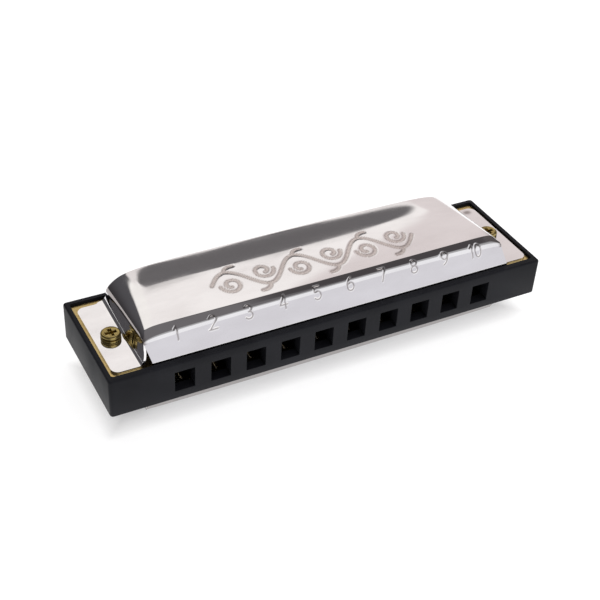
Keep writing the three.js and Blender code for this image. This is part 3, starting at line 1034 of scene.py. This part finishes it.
def reed_stations(low, high):
    """Sections of a reed from its pad to its tip, each (y, half width, underside, top).

    The pad lies on the plate. The tongue is thick at its root, ground thinner in the middle by
    half a sine wave and thicker again at its tip, and it narrows slightly.
    """
    tip, hinge, rear = low[1], high[1] - PAD_LENGTH, high[1]
    lift = high[2] + REED_LIFT
    stations = [
        (rear, PAD_HALF_WIDTH - PAD_CHAMFER, low[2] + PAD_CHAMFER_RISE, lift),
        (rear - PAD_CHAMFER, PAD_HALF_WIDTH, low[2], lift),
        (hinge + NECK_START, PAD_HALF_WIDTH, low[2], lift),
        (hinge + NECK_END, PAD_HALF_WIDTH - NECK_INSET, low[2] + NECK_RISE, lift),
    ]
    for share in TONGUE_SHARES:
        ground = GROUND_AWAY * math.sin(math.pi * min(1.0, share * GRINDING_REACH))
        underside = high[2] - REED_THICKNESS * (1 - ground)
        half = TONGUE_HALF_WIDTH - TONGUE_TAPER * share
        stations.append((hinge - (hinge - tip) * share, half, underside, high[2]))
    return stations


def reed(plate_set, number):
    """A reed: a ring of eight points, a box with cut corners, carried through its sections."""
    node = f"{plate_set}_reed_{number}"
    low, high = box_mm(node)
    x = (low[0] + high[0]) / 2
    stations = reed_stations(low, high)
    y, half, bottom, top = np.array(stations).T[:, :, None]
    cut = np.minimum(REED_CORNER, (top - bottom) * REED_CORNER_SHARE)
    side = half - cut
    across = np.concatenate([-half, -side, side, half, half, side, -side, -half], 1)
    low_cut, high_cut = bottom + cut, top - cut
    upward = np.concatenate([low_cut, bottom, bottom, low_cut, high_cut, top, top, high_cut], 1)
    points = np.stack([x + across, np.broadcast_to(y, across.shape), upward], -1)
    count, ring = across.shape
    quads = grid_quads(count, ring, wrap=True).reshape(-1, 4)
    caps = np.array([range(ring - 1, -1, -1), range((count - 1) * ring, count * ring)])
    faces = np.concatenate([quads.ravel(), caps.ravel()])
    sizes = np.concatenate([np.full(len(quads), 4), [ring, ring]])
    obj = new_object(f"{node}_ground", place(points), faces, sizes)
    weld(obj, REED_MERGE, REED_SHARP_ANGLE)
    obj.data.materials.append(REED_BRASS)
    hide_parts(node)
    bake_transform(obj)


def rivet(plate_set, number):
    """A rivet with a domed head under the reed's pad and its other end pressed flat in the plate."""
    node = f"{plate_set}_rivet_{number}"
    foot = box_mm(f"{plate_set}_reed_{number}")[0][2]
    low, high = box_mm(node)
    radius = RIVET_HEAD_RADIUS * np.sin(DOME_ANGLES)
    height = foot - RIVET_HEAD_EDGE - RIVET_DOME * np.cos(DOME_ANGLES)
    pressed = high[2] + RIVET_PRESSED_RISE
    profile = [
        *zip(radius, height),
        (RIVET_HEAD_RADIUS, foot),
        (RIVET_RADIUS, foot),
        (RIVET_RADIUS, high[2] - RIVET_PRESSED_DROP),
        (RIVET_PRESSED_RADIUS, pressed),
        (0, pressed),
    ]
    obj = lathe(f"{node}_domed", profile, (low + high) / 2, SMALL_TURNS)
    finish_piece(obj, RIVET_BRASS, node)


def pin(plate_set, number):
    """A plate pin: a low domed head on a plain shank."""
    node = f"{plate_set}_plate_pin_{number}"
    low, high = box_mm(node)
    side, tip = (-1, high[2]) if plate_set == "draw" else (1, low[2])
    seat = side * PLATE_TOP
    radius = PIN_HEAD_RADIUS * np.sin(DOME_ANGLES)
    height = seat + side * (PIN_HEAD_EDGE + PIN_DOME * np.cos(DOME_ANGLES))
    profile = [
        *zip(radius, height),
        (PIN_HEAD_RADIUS, seat),
        (PIN_RADIUS, seat),
        (PIN_RADIUS, tip + side * PIN_POINT),
        (0, tip),
    ]
    obj = lathe(f"{node}_turned", profile, (low + high) / 2, SMALL_TURNS)
    finish_piece(obj, RIVET_BRASS, node)


for plate_set in ("blow", "draw"):
    for number in range(1, HOLE_COUNT + 1):
        reed(plate_set, number)
        rivet(plate_set, number)
    for number in range(1, PIN_COUNT + 1):
        pin(plate_set, number)

# ------------------------------------------------------------------ cover screws and nuts

# Corners of the barrel head's flange and neck groove, as (radius, height over its foot).
HEAD_RADIUS = 2.0
FLANGE_AND_NECK = (
    (HEAD_RADIUS - 0.12, 0.0),
    (HEAD_RADIUS, 0.1),
    (HEAD_RADIUS, 0.28),
    (HEAD_RADIUS - 0.08, 0.36),
    (HEAD_RADIUS - 0.34, 0.40),
    (HEAD_RADIUS - 0.34, 0.50),
)
BARREL_FOOT = 0.46
BARREL_BULGE = 0.40
BARREL_ANGLES = np.linspace(-0.42, 0.5, 10) * math.pi
HEAD_EDGE_WIDTH = 0.12
HEAD_EDGE_DROP = 0.05
HEAD_RIM = 1.45
HEAD_FLAT = 1.4
HEAD_FLAT_ROWS = 26
HEAD_TURNS = 96
RECESS_DEPTH = 0.75
RECESS_REACH = 1.12
RECESS_HALF_WIDTH = 0.36
RECESS_WALL = (-0.16, 0.06)
SCREW_RADIUS = 1.0
SCREW_TIP = 0.15
SCREW_SHARP_ANGLE = 45.0
SEAT_GAP = 0.02
BORE_ROOM = 0.1
BORE_RIM = 0.1
BORE_EDGE = 0.15
NUT_TURNS = 64


def barrel_profile(foot, top, rim):
    """Half-outline of the barrel head: flange, neck groove, bulged barrel and rounded top edge.

    The barrel is part of an ellipse, from below its widest place to its top.
    """
    round_height = (top - foot - BARREL_FOOT) / 2
    barrel_r = HEAD_RADIUS - BARREL_BULGE + BARREL_BULGE * np.cos(BARREL_ANGLES)
    barrel_z = top - round_height + round_height * np.sin(BARREL_ANGLES)
    return [
        *((r, foot + z) for r, z in FLANGE_AND_NECK),
        *zip(barrel_r, barrel_z),
        (rim + HEAD_EDGE_WIDTH, top),
        (rim, top - HEAD_EDGE_DROP),
    ]


def head_top(radius, angle, top):
    """Height of the head's top inside its rim: flat, with a cross-shaped recess let into it."""
    x = np.abs(radius * np.cos(angle))
    y = np.abs(radius * np.sin(angle))
    along_x = np.maximum(x - RECESS_REACH, y - RECESS_HALF_WIDTH)
    along_y = np.maximum(y - RECESS_REACH, x - RECESS_HALF_WIDTH)
    pit = 1 - smooth_step(np.minimum(along_x, along_y), *RECESS_WALL)
    return top - HEAD_EDGE_DROP - RECESS_DEPTH * pit


def cover_screw(side_name):
    """A barrel-headed screw, as a profile turned round its axis, with a cross cut in its head."""
    node = f"{side_name}_cover_screw"
    low, high = box_mm(node)
    foot, top = TAB_TOP + SEAT_GAP, high[2]
    shank = [
        (0, low[2]),
        (SCREW_RADIUS - SCREW_TIP, low[2]),
        (SCREW_RADIUS, low[2] + SCREW_TIP),
        (SCREW_RADIUS, foot),
    ]
    outline = np.array(shank + barrel_profile(foot, top, HEAD_RIM))
    angle = np.linspace(0, 2 * math.pi, HEAD_TURNS, endpoint=False)
    flat = np.linspace(HEAD_FLAT, 0, HEAD_FLAT_ROWS)[:, None]
    r = np.concatenate([outline[:, :1], flat])
    outline_z = np.broadcast_to(outline[:, 1:], (len(outline), HEAD_TURNS))
    z = np.concatenate([outline_z, head_top(flat, angle, top)])
    middle = (low + high) / 2
    x = r * np.cos(angle) + middle[0]
    y = r * np.sin(angle) + middle[1]
    quads = grid_quads(len(r), HEAD_TURNS, wrap=True).reshape(-1, 4)
    obj = new_object(f"{node}_turned", place(np.stack([x, y, z], -1)), quads)
    weld(obj, sharp_angle=SCREW_SHARP_ANGLE)
    finish_piece(obj, SCREW_BRASS, node)


def cover_nut(side_name):
    """A barrel nut under the lower tab: the screw head's outline round an open bore."""
    node = f"{side_name}_cover_nut"
    low, high = box_mm(node)
    foot, top = TAB_TOP + SEAT_GAP, -low[2]
    bore = SCREW_RADIUS + BORE_ROOM
    profile = [
        (bore, foot),
        *barrel_profile(foot, top, bore + BORE_RIM),
        (bore, top - BORE_EDGE),
        (bore, foot),
    ]
    obj = lathe(f"{node}_turned", profile, (low + high) / 2, NUT_TURNS, flip=True)
    finish_piece(obj, SCREW_BRASS, node)


for side_name in ("left", "right"):
    cover_screw(side_name)
    cover_nut(side_name)

# ------------------------------------------------------------------ floor, light and camera

FLOOR_HALF_WIDTH = 2.2
FLOOR_GLOW = 0.74
# Under the object the floor's emission falls to a painted shadow, a little inside the comb's
# outline.
SHADOW_HALF = (comb_high[0] - 3, comb_high[1] - 4.5)
SHADOW_SOFTNESS = 4.0


def studio_floor():
    """A wide pale floor under the harmonica, with a painted shadow beneath it."""
    corners = np.array([(-1, -1, 0), (1, -1, 0), (1, 1, 0), (-1, 1, 0)], float) * FLOOR_HALF_WIDTH
    obj = new_object("studio_floor", corners, np.array([[0, 1, 2, 3]]))
    material, tree, shader = new_material("pale floor", Roughness=0.9, Specular_IOR_Level=0.1)
    shader.inputs["Emission Strength"].default_value = FLOOR_GLOW
    tone = object_noise(tree, 3.0, detail=2.0)
    colour = mixed(tree, tone, (0.50, 0.50, 0.505), (0.53, 0.53, 0.53))
    tree.links.new(colour, shader.inputs["Base Color"])
    # Painted shadow: the emission falls under the harmonica.
    emission_with_painted_shadow = shade_under(tree, SHADOW_HALF, SHADOW_SOFTNESS, (1.0, 1.0, 1.0), (0.22, 0.22, 0.225))
    tree.links.new(emission_with_painted_shadow, shader.inputs["Emission Color"])
    obj.data.materials.append(material)


# Each panel: azimuth and elevation of its middle, its half sizes, its turn and its edge's softness,
# all but the last in degrees, and its colour. Azimuth 0 is straight behind the harmonica and 90 is
# to its right. Later panels stand in front of earlier ones.
PANELS = [
    ((-75, 22), (79, 44), 0, 0.05, (0.085, 0.083, 0.09)),
    ((70, 20), (26, 48), 0, 0.08, (0.10, 0.09, 0.09)),
    ((12, 43), (34, 14.5), 0, 0.08, (0.99, 0.965, 0.935)),
    ((26, 20), (23, 32), 0, 0.08, (0.97, 0.935, 0.92)),
    ((43, 28), (6.5, 40), 0, 0.15, (0.78, 0.715, 0.71)),
    ((18.7, 26.2), (15.0, 9.6), -6, 0.045, (0.145, 0.138, 0.142)),
    ((9.3, 18.6), (16, 4), -54, 0.25, (0.84, 0.80, 0.79)),
    ((37.8, 14.6), (12, 6), 67, 0.10, (0.78, 0.715, 0.71)),
    ((145, 14), (52, 34), 0, 0.06, (0.93, 0.935, 0.965)),
    ((150, 5), (46, 12), 0, 0.10, (0.745, 0.74, 0.785)),
    ((0, 95), (400, 37), 0, 0.05, (0.165, 0.158, 0.165)),
    ((75, 59), (32, 8), 0, 0.25, (0.068, 0.062, 0.065)),
]
PANEL_POWER = 3.2
AMBIENT = (0.42, 0.42, 0.43)
HALF_TURN = 180.0


def panel_mask(tree, azimuth, elevation, middle, half, turn, soft):
    """1 inside a rounded rectangle on the sky and 0 outside it.

    With u and v the angles from its middle over its half sizes, the edge is where
    u^power + v^power reaches 1. A panel wider than half a turn goes all the way round.
    """
    across = math_node(tree, "SUBTRACT", azimuth, middle[0])
    if half[0] < HALF_TURN:
        across = math_node(tree, "WRAP", across, HALF_TURN)
        across.node.inputs[2].default_value = -HALF_TURN
    upward = math_node(tree, "SUBTRACT", elevation, middle[1])
    cos_turn, sin_turn = math.cos(math.radians(turn)), math.sin(math.radians(turn))
    terms = []
    for a, b, size in ((cos_turn, sin_turn, half[0]), (-sin_turn, cos_turn, half[1])):
        along = math_node(tree, "MULTIPLY", across, a / size)
        along = math_node(tree, "ADD", along, math_node(tree, "MULTIPLY", upward, b / size))
        terms.append(math_node(tree, "POWER", math_node(tree, "ABSOLUTE", along), PANEL_POWER))
    total = math_node(tree, "POWER", math_node(tree, "ADD", *terms), 1 / PANEL_POWER)
    edge = tree.nodes.new("ShaderNodeMapRange")
    edge.interpolation_type = "SMOOTHSTEP"
    edge.inputs["From Min"].default_value = 1 + soft
    edge.inputs["From Max"].default_value = 1 - soft
    tree.links.new(total, edge.inputs["Value"])
    return edge.outputs["Result"]


def studio_world():
    """Soft light from all round, with bright softboxes and dark flags for the steel to mirror."""
    world = bpy.data.worlds.new("studio")
    bpy.context.scene.world = world
    world.use_nodes = True
    tree = world.node_tree
    background = tree.nodes["Background"]
    coordinates = tree.nodes.new("ShaderNodeTexCoord")
    split = tree.nodes.new("ShaderNodeSeparateXYZ")
    tree.links.new(coordinates.outputs["Generated"], split.inputs[0])
    angle = math_node(tree, "ARCTAN2", split.outputs["X"], split.outputs["Y"])
    azimuth = math_node(tree, "MULTIPLY", angle, HALF_TURN / math.pi)
    lifted = math_node(tree, "ARCSINE", split.outputs["Z"])
    elevation = math_node(tree, "MULTIPLY", lifted, HALF_TURN / math.pi)
    colour = AMBIENT
    for middle, half, turn, soft, shade in PANELS:
        mask = panel_mask(tree, azimuth, elevation, middle, half, turn, soft)
        colour = mixed(tree, mask, colour, shade)
    tree.links.new(colour, background.inputs["Color"])


def fill_light(name, direction, distance, size, power):
    """A large soft lamp for the matt surfaces, kept out of the steel's mirror."""
    data = bpy.data.lights.new(name, "AREA")
    data.shape = "SQUARE"
    data.size = size
    data.energy = power
    obj = bpy.data.objects.new(name, data)
    bpy.context.scene.collection.objects.link(obj)
    way = Vector(direction).normalized()
    obj.location = way * distance
    obj.rotation_mode = "QUATERNION"
    obj.rotation_quaternion = way.to_track_quat("Z", "Y")
    obj.visible_glossy = False
    obj.visible_camera = False


studio_floor()
studio_world()
fill_light("overhead_fill", (0.25, 0.15, 1.0), distance=1.1, size=1.1, power=6.5)
fill_light("front_fill", (-0.5, -1.0, 1.1), distance=1.1, size=0.8, power=1.0)

VIEW_AZIMUTH = 29.54
VIEW_ELEVATION = 37.26
VIEW_ROLL = 3.516
CAMERA_PLACE = (-98.22, -169.27, 147.97)
LENS = 70.506
SENSOR_WIDTH = 36.0
NEAREST = 0.01
FARTHEST = 20.0


def studio_camera():
    """The camera looks down from the left of the mouth side, with a slight roll."""
    az, el, roll = (math.radians(v) for v in (VIEW_AZIMUTH, VIEW_ELEVATION, VIEW_ROLL))
    forward = Vector((math.sin(az) * math.cos(el), math.cos(az) * math.cos(el), -math.sin(el)))
    level = Vector((math.cos(az), -math.sin(az), 0))
    upright = level.cross(forward)
    right = level * math.cos(roll) + upright * math.sin(roll)
    up = upright * math.cos(roll) - level * math.sin(roll)
    turned = Matrix((right, up, -forward)).transposed()
    data = bpy.data.cameras.new("studio_camera")
    data.lens = LENS
    data.sensor_width = SENSOR_WIDTH
    data.clip_start = NEAREST
    data.clip_end = FARTHEST
    obj = bpy.data.objects.new("studio_camera", data)
    obj.matrix_world = Matrix.Translation(place(CAMERA_PLACE)[0]) @ turned.to_4x4()
    bpy.context.scene.collection.objects.link(obj)
    bpy.context.scene.camera = obj


studio_camera()
bpy.context.scene.view_settings.view_transform = "Standard"
